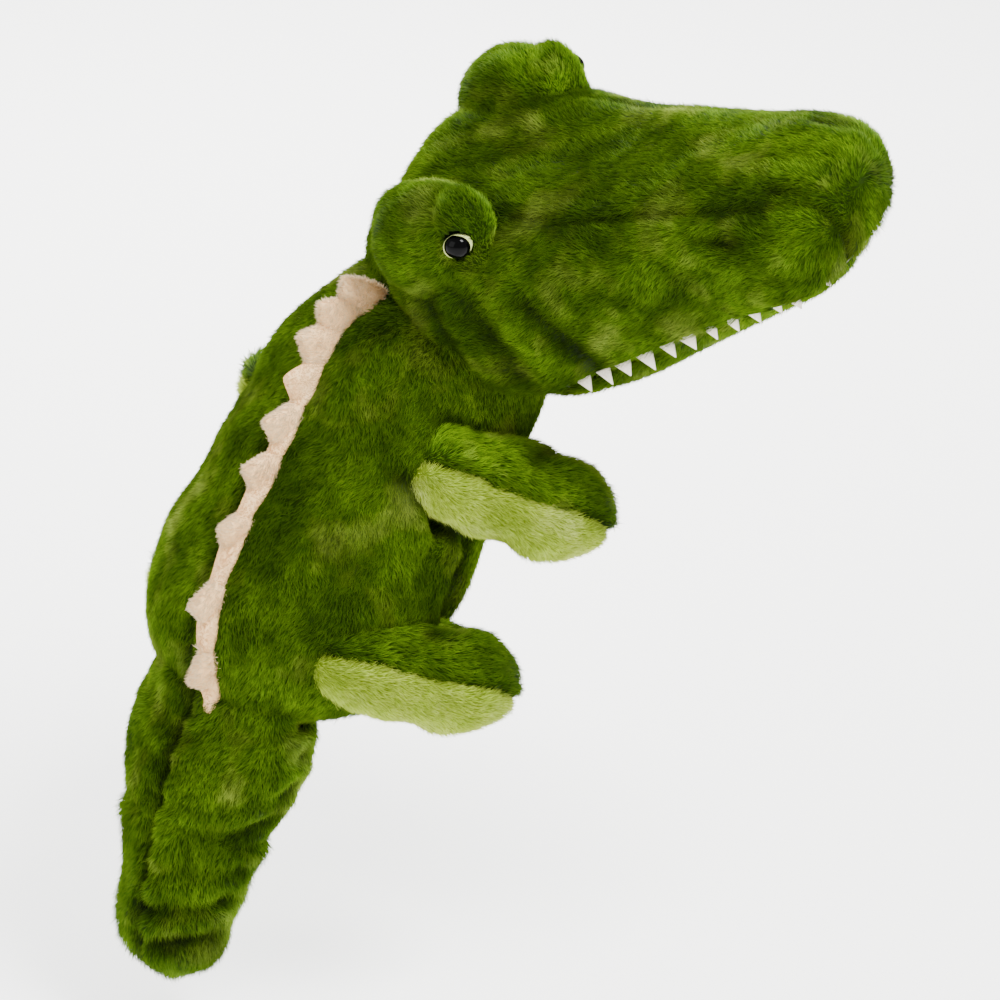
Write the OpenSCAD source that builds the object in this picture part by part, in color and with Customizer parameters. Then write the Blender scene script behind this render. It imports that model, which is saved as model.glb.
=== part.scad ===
// Moving-mouth hand puppet: a plush crocodile worn on the hand.
// +X is the way the belly faces, +Y the puppet's left, +Z up.
// The origin is the middle of the hand opening under the body.

/* [Body] */
// Distance between the hip and the middle of the neck ball
torso_len = 228; // [220:1:236]
// Forward lean of the body from upright
lean = 37.9; // [36:0.1:40]
// Half width of the body across the widest place
torso_half_w = 72; // [69:0.5:74]
// Thickness of the plush skin
skin = 4; // [3:0.5:5]
// Radius of the hand opening
opening_r = 30; // [28:0.5:31]
// Radius of the stuffed neck ball
neck_r = 50; // [49:0.5:50.5]

/* [Head] */
// Half width of the head at the cheeks
head_half_w = 75; // [72:0.5:77]
// Slope of the mouth line against the head's own axis
mouth_slope = 22.7; // [22:0.1:24]
// Gap between the two jaws at rest
mouth_gap = 3; // [2.5:0.5:5]
// Radius of the glossy eye dome
eye_r = 7; // [6:0.25:7.5]
// Number of felt teeth along each side
teeth_per_side = 10; // [8:1:11]
// Height of a felt tooth
tooth_h = 10; // [7:0.5:11]

/* [Limbs and tail] */
// Length of an arm or leg from its pivot to the paw's end
limb_len = 90; // [84:1:92]
// Radius of a limb at its root
limb_root_r = 20; // [19:0.5:20.5]
// Radius of a paw
paw_r = 25; // [23:0.5:26]
// Half width of the tail at its root
tail_half_w = 52; // [48:1:54]
// Length of the tail
tail_len = 132; // [125:1:136]

/* [Ridge] */
// Thickness of the plush ridge along the back
ridge_t = 9; // [7:0.5:11]
// Height of the tallest spike
spike_h = 26; // [22:1:30]
// Number of spikes
spikes = 9; // [8:1:10]

/* [Hidden] */

seg = 32;             // points round each section
gap = 0.5;            // clearance between pieces that move past each other
hip = [-46, 0, 6];    // where the body's axis starts
neck = hip + torso_len * [sin(lean), 0, cos(lean)];
head_turn = [18.6, -7, -69];  // how the head sits at rest
jaw_at = [55, 0, -30];        // jaw hinge, in the head's own frame
leaf = [0.28, 0.35, 0.05];
leaf_dark = [0.2, 0.27, 0.03];
lime = [0.66, 0.72, 0.33];
cream = [0.98, 0.9, 0.76];

// One ring of a skin: centre x and z, tilt, extents forward, back and to the
// sides, and how square it is.
function ring(r, k) = [for (i = [0 : seg - 1])
    let (a = 360 * i / seg, c = cos(a), s = sin(a), e = 2 / r[6],
         u = (c >= 0 ? r[3] + k : -(r[4] + k)) * pow(abs(c), e),
         v = (r[5] + k) * sign(s) * pow(abs(s), e))
    [r[0] + u * cos(r[2]), v, r[1] - u * sin(r[2])]];
// A closed skin through a row of rings, grown by k on every side.
module loft(rs, k = 0) {
    n = len(rs);
    pts = [for (r = rs) each ring(r, k)];
    side = [for (j = [0 : n - 2], i = [0 : seg - 1])
        let (a = j * seg + i, b = j * seg + (i + 1) % seg)
        each [[a, a + seg, b], [b, a + seg, b + seg]]];
    polyhedron(points = pts, faces = concat(
        [[for (i = [0 : seg - 1]) i]], side,
        [[for (i = [seg - 1 : -1 : 0]) (n - 1) * seg + i]]));
}
// The rings between first and last, moved in by d at each end.
function along(t) = [hip[0] + t * sin(lean), hip[2] + t * cos(lean)];

torso_rings = [
    [-27, 0, 0, 62, 56, 58, 2.3],
    [-31, 10, 4, 67, 60, 65, 2.3],
    [-30, 26, 12, 70, 62, 70, 2.3],
    [-19, 48, 27, 64, 64, torso_half_w, 2.2],
    [along(80)[0], along(80)[1], 36, 59, 67, torso_half_w, 2.1],
    [along(110)[0], along(110)[1], 38, 57, 67, torso_half_w - 3, 2.1],
    [along(140)[0], along(140)[1], 36, 57, 68, torso_half_w - 5, 2.1],
    [along(168)[0], along(168)[1], 31, 56, 66, 65, 2.1],
    [along(190)[0], along(190)[1], 24, 54, 60, 58, 2],
    [along(207)[0], along(207)[1], 18, 52, 53, 53, 2]];
cavity_rings = [
    [0, -20, 0, 32, 32, 32, 2],
    [0, 9.2, 3, 32, 32, 32, 2],
    [0, 20, 12, 32, 31, 32, 2],
    [1, 44, 27, 34, 32, 33, 2],
    [12, 76, 38, 36, 36, 40, 2],
    [32, 104, 38, 36, 38, 42, 2],
    [54, 134, 38, 35, 37, 40, 2],
    [74, 160, 38, 34, 34, 36, 2],
    [98, 190, 38, 34, 34, 35, 2]];
head_rings = [
    [-15, 30, 90, 18, 22, 32, 2],
    [-9, 28, 90, 38, 42, 54, 2.1],
    [6, 25, 90, 56, 56, 68, 2.2],
    [30, 21, 90, 62, 61, head_half_w - 1, 2.3],
    [58, 20, 90, 62, 62, head_half_w, 2.4],
    [92, 22, 90, 62, 60, 68, 2.6],
    [128, 34, 90, 62, 48, 60, 2.6],
    [165, 46, 90, 58, 39, 53, 2.6],
    [195, 51, 90, 52, 36, 51, 2.5],
    [214, 54, 90, 47, 33, 47, 2.4],
    [227, 56, 90, 36, 26, 37, 2.2],
    [233, 57, 90, 16, 12, 17, 2]];
jaw_rings = [
    [-3, -2, 90, 7, 7, 50, 4],
    [8, -2, 90, 14, 9, 55, 3],
    [30, -2, 90, 24, 10, 56, 2.5],
    [60, -2, 90, 26, 10, 52, 2.4],
    [100, -2, 90, 23, 10, 45, 2.3],
    [132, -2, 90, 19, 10, 40, 2.3],
    [158, -2, 90, 15, 9, 35, 2.2],
    [172, -2, 90, 12, 8, 26, 2.2],
    [180, -2, 90, 7, 6, 13, 2]];
// Half width of the mouth at a distance in front of the hinge.
mouth_w = [[-4, 52], [8, 58], [30, 62], [60, 58], [100, 51], [135, 46],
    [163, 41], [178, 31], [185, 15]];

// Places a piece that is drawn in the head's frame.
module in_head() { translate(neck) rotate(head_turn) children(); }
// Places a piece that is drawn in the mouth's frame, inside the head's.
module in_mouth() { in_head() mouth_pose() children(); }
module mouth_pose() { translate(jaw_at) rotate([0, -mouth_slope, 0]) children(); }

// The body's outer shape.
module torso_outer(k = 0) { loft(torso_rings, k); }
// The space inside the skin; it runs on past the open top.
module torso_inner() {
    n = len(torso_rings) - 1;
    loft([for (i = [0 : n]) let (r = torso_rings[i])
        i == 0 ? [r[0], skin, r[2], r[3], r[4], r[5], r[6]]
        : i == n ? [r[0] + 2, r[1] + 6, r[2], r[3], r[4], r[5], r[6]] : r], -skin);
}
module arm_seat(s, r) { translate(arm_at(s)) sphere(r = r, $fn = 48); }
module leg_seat(s, r) { translate(leg_at(s)) sphere(r = r, $fn = 48); }
// Pivots of the limbs: along the body's axis, forward of it and out to a side.
function limb_at(t, fwd, y) = [along(t)[0] + fwd * cos(lean), y, along(t)[1] - fwd * sin(lean)];
function arm_at(s) = limb_at(126.9, -14.4, s * 63);
function leg_at(s) = limb_at(21.7, -13.8, s * 59);
tail_at = [-68, 0, -6];
tail_r = 26;
// Everything that the moving pieces need clear in the body.
module torso_seats() {
    translate(neck) sphere(r = neck_r + gap, $fn = 72);
    for (s = [-1, 1]) {
        arm_seat(s, limb_root_r + gap);
        leg_seat(s, limb_root_r + gap);
        limb_way(arm_at(s), s);
        limb_way(leg_at(s), s);
    }
    translate(tail_at) rotate([90, 0, 0])
        cylinder(r = tail_r + gap, h = 2 * tail_half_w + 2, center = true, $fn = 64);
    cylinder(r = opening_r + 2, h = 40, center = true, $fn = 64);
}
module torso_skin() {
    difference() {
        torso_outer();
        torso_inner();
        torso_seats();
    }
}
// The half space on the belly's side of the side seams.
module belly_side() {
    translate(hip) rotate([0, lean, 0]) translate([26, -150, -100]) cube([200, 300, 500]);
}
module back_panel_left() {
    color(leaf_dark) difference() {
        intersection() { torso_skin(); translate([-200, 0, -50]) cube([400, 150, 400]); }
        belly_side();
    }
}
module back_panel_right() {
    color(leaf_dark) difference() {
        intersection() { torso_skin(); translate([-200, -150, -50]) cube([400, 150, 400]); }
        belly_side();
    }
}
module belly_panel() { color(leaf) intersection() { torso_skin(); belly_side(); } }
module torso_padding() {
    color("white") difference() {
        intersection() { torso_inner(); torso_outer(); }
        torso_seats();
        loft(cavity_rings, 0);
    }
}
module hand_sleeve() {
    color([0.35, 0.4, 0.15]) difference() {
        loft(cavity_rings, 0);
        loft(cavity_rings, -2);
        translate(neck) sphere(r = neck_r + gap, $fn = 72);
        translate([-100, -100, -100]) cube([200, 200, 109.6]);
    }
}
module opening_hem() {
    color(lime) rotate_extrude($fn = 96)
        polygon([[opening_r, -1.5], [opening_r + 1.8, -1.5], [opening_r + 1.8, 9], [opening_r, 9]]);
}

// Point and outward direction along the middle of the back, hip to neck.
back_line = [for (i = [1 : len(torso_rings) - 1]) let (r = torso_rings[i])
    [r[0] - r[4] * cos(r[2]), r[1] + r[4] * sin(r[2])]];
function back_pt(u) = let (n = len(back_line) - 1, i = min(floor(u * n), n - 1), f = u * n - i)
    back_line[i] * (1 - f) + back_line[i + 1] * f;
function out_dir(u) = let (d = back_pt(min(u + 0.06, 1)) - back_pt(max(u - 0.06, 0)), m = norm(d))
    [-d[1] / m, d[0] / m];
function spike_pt(u, h) = back_pt(u) + out_dir(u) * h;
// Slants the ridge so that it ends a little to the right over the tail.
module ridge_set() {
    k = ridge_slant / 200;
    multmatrix([[1, 0, 0, 0],
        [k * sin(lean), 1, k * cos(lean), -ridge_slant - k * (hip[0] * sin(lean) + hip[2] * cos(lean))],
        [0, 0, 1, 0], [0, 0, 0, 1]]) children();
}
ridge_slant = 12;
ridge_low = 0.1;
ridge_top = 0.98;
module back_ridge() {
    span = (ridge_top - ridge_low) / spikes;
    outline = concat(
        [for (i = [0 : 24]) spike_pt(ridge_low + (ridge_top - ridge_low) * i / 24, -3.4)],
        [for (i = [spikes - 1 : -1 : 0], k = [0 : 3])
            let (u = ridge_low + span * i,
                 h = spike_h * (0.6 + 0.4 * i / (spikes - 1)))
            k == 0 ? spike_pt(u + span * 0.98, 5)
            : k == 1 ? spike_pt(u + span * 0.5, h * 0.7)
            : k == 2 ? spike_pt(u + span * 0.18, h)
            : spike_pt(u + span * 0.06, h * 0.7)]);
    color(cream) difference() {
        ridge_set() translate([0, ridge_t / 2, 0]) rotate([90, 0, 0]) linear_extrude(ridge_t) polygon(outline);
        torso_outer();
    }
}

// The neck: a hollow stuffed ball that the hand passes through.
module neck_way(r) {
    translate(neck) {
        rotate([0, lean, 0]) translate([0, 0, -80]) cylinder(r = r, h = 80, $fn = 64);
        rotate(head_turn) rotate([0, 55, 0]) cylinder(r = r, h = 80, $fn = 64);
    }
}
module neck_skin() {
    color(leaf) difference() {
        translate(neck) sphere(r = neck_r, $fn = 72);
        translate(neck) sphere(r = neck_r - skin, $fn = 72);
        neck_way(34);
    }
}
module neck_lining() {
    color([0.35, 0.4, 0.15]) difference() {
        translate(neck) sphere(r = neck_r - skin, $fn = 72);
        translate(neck) sphere(r = neck_r - skin - 2, $fn = 72);
        neck_way(34);
    }
}
// The head, in its own frame: +X to the nose, +Y its left, +Z its crown.
// What is cut from the head so that the body, the neck and the jaw stay clear.
module head_cuts() {
    sphere(r = neck_r + gap, $fn = 72);
    mouth_pose() {
        translate([0, -120, -200]) cube([300, 240, 200 + 1.8]);
        rotate([90, 0, 0]) cylinder(r = 13, h = 240, center = true, $fn = 64);
    }
    low_cut();
}
// Room under the back of the head for the neck and shoulders as it turns.
module low_cut() {
    difference() {
        translate([-70, -130, -150]) cube([70 + 58, 260, 150 + 44]);
        cylinder(h = 60, r1 = 36, r2 = 88, $fn = 96);
    }
}
module head_shell() {
    difference() {
        loft(head_rings);
        loft(head_rings, -skin);
        head_cuts();
    }
}
function top_w(f) = lookup(f, [[-20, 40], [40, 46], [90, 44], [130, 38], [190, 33], [225, 24], [240, 12]]);
module top_plan(k = 0) {
    xs = [for (x = [-20 : 12 : 256]) x];
    translate([0, 0, 45]) linear_extrude(120) polygon(concat(
        [for (x = xs) [x, top_w(x) + k]],
        [for (i = [len(xs) - 1 : -1 : 0]) [xs[i], -top_w(xs[i]) - k]]));
}
module back_zone() { translate([-60, -120, -100]) cube([66, 240, 300]); }
module head_top_panel() {
    color(leaf_dark) in_head() difference() {
        intersection() { head_shell(); top_plan(); }
        back_zone();
    }
}
module side_panel(s) {
    color(leaf) in_head() difference() {
        intersection() {
            head_shell();
            translate([-60, s > 0 ? 0 : -150, -150]) cube([400, 150, 400]);
        }
        top_plan();
        back_zone();
    }
}
module head_side_panel_right() { side_panel(-1); }
module head_side_panel_left() { side_panel(1); }
module head_back_panel() {
    color(leaf_dark) in_head() intersection() { head_shell(); back_zone(); }
}
// The hollow for the fingers, above the palate.
module finger_hollow(k) {
    mouth_pose() translate([-24, -38 - k, 6 - k]) cube([144 + k, 76 + 2 * k, 24 + 2 * k]);
}
module head_stuffing() {
    color("white") in_head() difference() {
        loft(head_rings, -skin);
        head_cuts();
        finger_hollow(1.5);
        mouth_plate(-6, 0, 5);
    }
}
// A plate in the mouth's frame that follows the mouth's edge.
module mouth_plate(k, lo, hi, back = 6) {
    mouth_pose() mouth_flat(k, lo, hi, back);
}
module mouth_flat(k, lo, hi, back = 6) {
    pts = [for (p = mouth_w) if (p[0] >= back - 14) [max(p[0], back), p[1] + k]];
    translate([0, 0, lo]) linear_extrude(hi - lo) polygon(concat(
        pts, [for (i = [len(pts) - 1 : -1 : 0]) [pts[i][0], -pts[i][1]]]));
}
module palate_lining() {
    color([0.55, 0.15, 0.15]) in_head() mouth_pose() intersection() {
        mouth_flat(-6, 0.3, 1.8, 16);
        translate([0, -100, -1]) cube([176.9, 200, 4]);
    }
}
module upper_mouth_board() { color("gray") in_head() mouth_plate(-10, 1.8, 3.8, 18); }
module finger_pocket() {
    color([0.35, 0.4, 0.15]) in_head() difference() {
        finger_hollow(1.5);
        finger_hollow(0);
        mouth_pose() translate([-40, -38, 6]) cube([30, 76, 24]);
        sphere(r = neck_r + gap, $fn = 72);
        low_cut();
        mouth_pose() rotate([90, 0, 0]) cylinder(r = 13, h = 240, center = true, $fn = 64);
    }
}
// The felt teeth hang from a strip sewn round the upper jaw's edge.
module tooth(w, h) {
    rotate([90, 0, 0]) linear_extrude(1.2, center = true)
        polygon([[-w / 2, 0.5], [w / 2, 0.5], [0.8, -h], [-0.8, -h]]);
}
function edge_w(x) = lookup(x, mouth_w) + 1.6;
module upper_teeth() {
    color([0.93, 0.9, 0.82]) in_head() mouth_pose() {
        difference() {
            mouth_flat(2.4, 0.3, 1.8, 30);
            intersection() {
                mouth_flat(-5.9, 0, 2, 16);
                translate([0, -100, -1]) cube([177, 200, 4]);
            }
            translate([-20, -100, -1]) cube([56, 200, 4]);
        }
        for (s = [-1, 1], i = [0 : teeth_per_side - 1]) {
            x = 44 + i * 126 / (teeth_per_side - 1);
            a = atan((edge_w(x + 4) - edge_w(x - 4)) / 8);
            translate([x, s * edge_w(x), 0.4]) rotate([0, 0, s * a])
                tooth(14, tooth_h * (0.8 + 0.2 * cos(180 * i / (teeth_per_side - 1))));
        }
    }
}

// Brow mounds and eyelids on top of the head.
module blob(at, r, k = 0, n = 24) { translate(at) scale([r[0] + k, r[1] + k, r[2] + k]) sphere(r = 1, $fn = n); }
function mound_at(s) = [16, s * 52, 64];
mound_size = [29, 26, 29];
function lid_at(s) = [42, s * 50, 71];
lid_size = [15, 17, 27];
function eye_at(s) = [44, s * 64.5, 76];
// Turns +Z to the way that an eye looks.
module eye_pose(s) { translate(eye_at(s)) rotate([s * -78, 0, 0]) rotate([0, 18, 0]) children(); }
module eye_socket(s, k = 0) {
    eye_pose(s) translate([0, 0, -14]) cylinder(r = 9 + k, h = 60, $fn = 48);
}
module eye_mound(s) {
    color(leaf) in_head() difference() {
        blob(mound_at(s), mound_size);
        loft(head_rings, 0);
        blob(lid_at(s), lid_size);
        eye_socket(s, 0.2);
        translate([-100, -120, -100]) cube([200, 240, 146]);
    }
}
module eyelid(s) {
    color(leaf) in_head() difference() {
        blob(lid_at(s), lid_size);
        loft(head_rings, 0);
        eye_socket(s, 0.2);
    }
}
module eye_mound_right() { eye_mound(-1); }
module eye_mound_left() { eye_mound(1); }
module eyelid_right() { eyelid(-1); }
module eyelid_left() { eyelid(1); }
module eye_backing(s) {
    color(cream) in_head() eye_pose(s) difference() {
        translate([0, 0, -3]) cylinder(r = 9, h = 2, $fn = 48);
        translate([0, 0, -4]) cylinder(r = 2.2, h = 4, $fn = 32);
    }
}
module eye(s) {
    color([0.02, 0.02, 0.02]) in_head() eye_pose(s) {
        difference() {
            translate([0, 0, -1]) scale(1) sphere(r = eye_r, $fn = 64);
            translate([-20, -20, -21]) cube([40, 40, 20]);
        }
        translate([0, 0, -9]) cylinder(r = 2, h = 9, $fn = 32);
    }
}
module eye_washer(s) {
    color("white") in_head() eye_pose(s) difference() {
        translate([0, 0, -8]) cylinder(r = 7, h = 1.5, $fn = 48);
        translate([0, 0, -10]) cylinder(r = 2.2, h = 6, $fn = 32);
    }
}
module eye_backing_right() { eye_backing(-1); }
module eye_backing_left() { eye_backing(1); }
module eye_right() { eye(-1); }
module eye_left() { eye(1); }
module eye_washer_right() { eye_washer(-1); }
module eye_washer_left() { eye_washer(1); }

// The lower jaw, in the mouth's frame.
module jaw_zone() {
    translate([-20, -120, -60]) cube([260, 240, 60 - mouth_gap]);
}
module thumb_hollow(k) {
    translate([-14, -19 - k, -21 - k]) cube([100 + k, 38 + 2 * k, 13.5 + k]);
}
module chin_panel() {
    color(leaf_dark) in_mouth() difference() {
        intersection() { loft(jaw_rings); jaw_zone(); }
        loft(jaw_rings, -3);
        thumb_hollow(1.5);
        mouth_flat(-10.8, -mouth_gap - 1.3, 2, 10);
        mouth_flat(-13.8, -mouth_gap - 3.3, 2, 12);
        rotate([90, 0, 0]) cylinder(r = 6.4, h = 240, center = true, $fn = 48);
    }
}
module lower_mouth_lining() {
    color([0.55, 0.15, 0.15]) in_mouth() mouth_flat(-11, -mouth_gap - 1.2, -mouth_gap, 10);
}
module lower_mouth_board() {
    color("gray") in_mouth() mouth_flat(-14, -mouth_gap - 3.2, -mouth_gap - 1.2, 12);
}
module thumb_pocket() {
    color([0.35, 0.4, 0.15]) in_mouth() difference() {
        thumb_hollow(1.5);
        thumb_hollow(0);
        translate([-30, -19, -21]) cube([30, 38, 13.5]);
        mouth_flat(-13.8, -mouth_gap - 3.4, -mouth_gap + 2, 12);
        translate([-30, -50, -60]) cube([33, 100, 100]);
    }
}
module jaw_stuffing() {
    color("white") in_mouth() difference() {
        intersection() { loft(jaw_rings, -3); jaw_zone(); }
        thumb_hollow(1.5);
        mouth_flat(-10.8, -mouth_gap - 1.2, 2, 10);
        mouth_flat(-13.8, -mouth_gap - 3.2, 2, 12);
        rotate([90, 0, 0]) cylinder(r = 6.4, h = 240, center = true, $fn = 48);
    }
}
// The soft roll of cloth across the back of the mouth, on the hinge's axis.
module mouth_hinge_fold() {
    color([0.55, 0.15, 0.15]) in_mouth() rotate([90, 0, 0])
        cylinder(r = 6, h = 96, center = true, $fn = 48);
}

// A limb lies along its own +Z, with its pivot at the middle of the root ball.
limb_profile = [[limb_root_r - 2, 0], [limb_root_r - 3.5, 12], [limb_root_r - 3, 20],
    [limb_root_r, 32], [paw_r - 0.5, 46], [paw_r, 56], [paw_r - 1, 66], [paw_r - 4, 74],
    [paw_r - 9, 80], [paw_r - 16, limb_len - 2], [0, limb_len]];
module limb_shape(k) {
    sphere(r = limb_root_r - k, $fn = 48);
    rotate_extrude($fn = 48) polygon(concat([[0, 0]],
        [for (p = limb_profile) [max(0, p[0] - k), p[1] > limb_len - 1 ? p[1] - k : p[1]]]));
}
// Turns +Z to the way the limb points: out, forward and a little down.
module limb_pose(at, s) { translate(at) rotate([0, 0, s * 25]) rotate([0, at[2] > 80 ? 115 : 108, 0]) children(); }
// The hollow in the body's side that a limb swings through.
module limb_way(at, s) {
    limb_pose(at, s) for (a = [-15, -5, 5, 15]) rotate([0, a, 0]) {
        cylinder(r = limb_root_r - 1.2, h = 24, $fn = 48);
        translate([0, 0, 19]) cylinder(r1 = limb_root_r - 1.6, r2 = paw_r + 4, h = 27, $fn = 48);
        translate([0, 0, 45.9]) cylinder(r = paw_r + 4, h = 46, $fn = 48);
    }
}
module limb_skin() { difference() { limb_shape(0); limb_shape(3); } }
// The part of a limb on its upper and inner side.
module limb_top(s) { rotate([0, 0, s * 27]) translate([-60, -60, -60]) cube([60 + 2, 120, 200]); }
module limb_upper(at, s) { color(leaf_dark) limb_pose(at, s) intersection() { limb_skin(); limb_top(s); } }
module limb_under(at, s) { color(lime) limb_pose(at, s) difference() { limb_skin(); limb_top(s); } }
module limb_fill(at, s) { color("white") limb_pose(at, s) limb_shape(3); }
module arm_right_top() { limb_upper(arm_at(-1), -1); }
module arm_right_under() { limb_under(arm_at(-1), -1); }
module arm_right_stuffing() { limb_fill(arm_at(-1), -1); }
module arm_left_top() { limb_upper(arm_at(1), 1); }
module arm_left_under() { limb_under(arm_at(1), 1); }
module arm_left_stuffing() { limb_fill(arm_at(1), 1); }
module leg_right_top() { limb_upper(leg_at(-1), -1); }
module leg_right_sole() { limb_under(leg_at(-1), -1); }
module leg_right_stuffing() { limb_fill(leg_at(-1), -1); }
module leg_left_top() { limb_upper(leg_at(1), 1); }
module leg_left_sole() { limb_under(leg_at(1), 1); }
module leg_left_stuffing() { limb_fill(leg_at(1), 1); }

// The tail hangs from a round roll across the body's lower back.
tail_bend = 60;       // how far down the second hinge is
tail_rings = [
    [0, 0, 0, 25, 26, tail_half_w - 3, 2.3],
    [-9, -20, 14, 26, 27, tail_half_w - 1, 2.3],
    [-20, -45, 20, 26, 26, tail_half_w - 9, 2.3],
    [-29, -70, 20, 25, 25, tail_half_w - 17, 2.3],
    [-36, -95, 18, 23, 23, tail_half_w - 22, 2.2],
    [-41, -115, 16, 20, 20, tail_half_w - 24, 2.2],
    [-44, -127, 16, 14, 14, tail_half_w - 29, 2.1],
    [-45, -tail_len, 16, 5, 5, tail_half_w - 42, 2]];
tip_at = [-25, 0, -tail_bend];
tip_r = 28;
module tail_shape(k) {
    loft([for (i = [len(tail_rings) - 1 : -1 : 0]) let (r = tail_rings[i])
        i == len(tail_rings) - 1 ? [r[0], r[1] + k, r[2], r[3] + k * 0.9, r[4] + k * 0.9, r[5] + k * 0.9, r[6]] : r], -k);
}
module tail_roll(at, r, w) {
    translate(at) rotate([90, 0, 0]) cylinder(r = r, h = w, center = true, $fn = 64);
}
module below(z) { translate([-150, -150, z - 400]) cube([300, 300, 400]); }
module base_solid(k) {
    difference() {
        union() {
            intersection() {
                tail_shape(k);
                below(0);
            }
            tail_roll([0, 0, 0], tail_r - k, 2 * (tail_half_w - 4 - k));
        }
        below(-tail_bend);
        tail_roll(tip_at, tip_r + gap, 300);
    }
}
module tip_solid(k) {
    intersection() {
        tail_shape(k);
        union() {
            below(-tail_bend - 0.01);
            tail_roll(tip_at, tip_r - k, 300);
        }
    }
}
module tail_back() { translate([-300, -150, -300]) cube([280, 300, 400]); }
module tail_base_skin() {
    color(leaf_dark) translate(tail_at) intersection() {
        difference() { base_solid(0); base_solid(3.5); }
        tail_back();
    }
}
module tail_base_underside() {
    color(leaf) translate(tail_at) difference() {
        base_solid(0);
        base_solid(3.5);
        tail_back();
    }
}
module tail_base_stuffing() { color("white") translate(tail_at) base_solid(3.5); }
module tail_tip_skin() {
    color(leaf_dark) translate(tail_at) intersection() {
        difference() { tip_solid(0); tip_solid(3.5); }
        tail_back();
    }
}
module tail_tip_underside() {
    color(leaf) translate(tail_at) difference() {
        tip_solid(0);
        tip_solid(3.5);
        tail_back();
    }
}
module tail_tip_stuffing() { color("white") translate(tail_at) tip_solid(3.5); }

back_panel_left();
back_panel_right();
belly_panel();
torso_padding();
hand_sleeve();
opening_hem();
back_ridge();
neck_skin();
neck_lining();
head_top_panel();
head_side_panel_right();
head_side_panel_left();
head_back_panel();
head_stuffing();
palate_lining();
upper_mouth_board();
finger_pocket();
upper_teeth();
eye_mound_right();
eye_mound_left();
eyelid_right();
eyelid_left();
eye_backing_right();
eye_backing_left();
eye_right();
eye_left();
eye_washer_right();
eye_washer_left();
chin_panel();
lower_mouth_lining();
lower_mouth_board();
thumb_pocket();
jaw_stuffing();
mouth_hinge_fold();
arm_right_top();
arm_right_under();
arm_right_stuffing();
arm_left_top();
arm_left_under();
arm_left_stuffing();
leg_right_top();
leg_right_sole();
leg_right_stuffing();
leg_left_top();
leg_left_sole();
leg_left_stuffing();
tail_base_skin();
tail_base_underside();
tail_base_stuffing();
tail_tip_skin();
tail_tip_underside();
tail_tip_stuffing();
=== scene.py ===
import logging
import math
from dataclasses import dataclass, field
from enum import Enum
from typing import Callable

import bmesh
import bpy
import numpy as np
from mathutils import Matrix, Vector
from mathutils.bvhtree import BVHTree


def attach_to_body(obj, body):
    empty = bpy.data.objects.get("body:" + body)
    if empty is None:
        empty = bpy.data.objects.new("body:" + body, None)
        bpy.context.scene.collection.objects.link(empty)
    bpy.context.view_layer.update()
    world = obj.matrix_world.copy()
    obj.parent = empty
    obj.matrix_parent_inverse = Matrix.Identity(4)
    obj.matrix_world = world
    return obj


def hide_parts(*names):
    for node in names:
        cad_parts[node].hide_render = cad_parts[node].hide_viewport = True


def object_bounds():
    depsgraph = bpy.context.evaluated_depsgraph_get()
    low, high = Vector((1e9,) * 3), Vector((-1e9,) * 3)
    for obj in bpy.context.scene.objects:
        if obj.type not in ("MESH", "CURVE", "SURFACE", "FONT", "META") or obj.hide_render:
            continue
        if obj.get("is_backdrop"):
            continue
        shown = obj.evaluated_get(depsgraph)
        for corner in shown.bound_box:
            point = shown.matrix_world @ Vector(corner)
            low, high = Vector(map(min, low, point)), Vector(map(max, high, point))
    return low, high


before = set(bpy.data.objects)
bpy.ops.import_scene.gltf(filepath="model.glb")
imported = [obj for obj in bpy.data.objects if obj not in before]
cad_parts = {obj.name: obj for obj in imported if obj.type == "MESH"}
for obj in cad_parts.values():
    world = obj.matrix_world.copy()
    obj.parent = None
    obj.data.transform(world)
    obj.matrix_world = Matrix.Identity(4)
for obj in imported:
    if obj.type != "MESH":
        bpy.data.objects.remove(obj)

logging.basicConfig(level=logging.INFO, format="%(message)s")
log = logging.getLogger("puppet")

MM = 0.001
FAR = 99.0  # a distance too large for any seam or fold
CLOTH = 1.5  # thickness of the plush's backing cloth
BURIED = 2.5  # pile rooted deeper than this in another piece is left out
TOOTH_R = 4.6
TOOTH_FLAT = Matrix.Diagonal((1.15, 0.28, 1, 1))
TEETH_PER_SIDE = 12
RIDGE_SPIKES = 9
Array = np.ndarray
Field = Callable[[Array], Array]
# A limb's kind, its place along, forward of and beside the body's axis, its under panel and its seed.
LIMBS = (("arm", 126.9, -14.4, 63, "under", 200), ("leg", 21.7, -13.8, 59, "sole", 300))


# ------------------------------------------------------------------ sizes
@dataclass(frozen=True)
class Body:
    """Sizes of the puppet's body, in millimetres and degrees."""

    hip: tuple[float, float, float] = (-46.0, 0.0, 6.0)
    length: float = 228.0
    lean: float = 37.9

    def along(self, t: float) -> tuple[float, float]:
        """Point on the body's axis.

        Args:
            t: distance from the hip.
        Returns:
            x and z of the point.
        """
        a = math.radians(self.lean)
        return self.hip[0] + t * math.sin(a), self.hip[2] + t * math.cos(a)

    def limb_pivot(self, t: float, forward: float, y: float) -> Vector:
        """Pivot of a limb at t along the axis, forward of it and out to a side."""
        a = math.radians(self.lean)
        x, z = self.along(t)
        return Vector((x + forward * math.cos(a), y, z - forward * math.sin(a)))


BODY = Body()
NECK = Vector((BODY.along(BODY.length)[0], 0.0, BODY.along(BODY.length)[1]))
JAW_HINGE = Vector((55.0, 0.0, -30.0))
MOUTH_SLOPE = 22.7
TAIL = Vector((-68.0, 0.0, -6.0))


def turn(axis: str, degrees: float) -> Matrix:
    """A rotation as a 4 by 4 matrix."""
    return Matrix.Rotation(math.radians(degrees), 4, axis)


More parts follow.
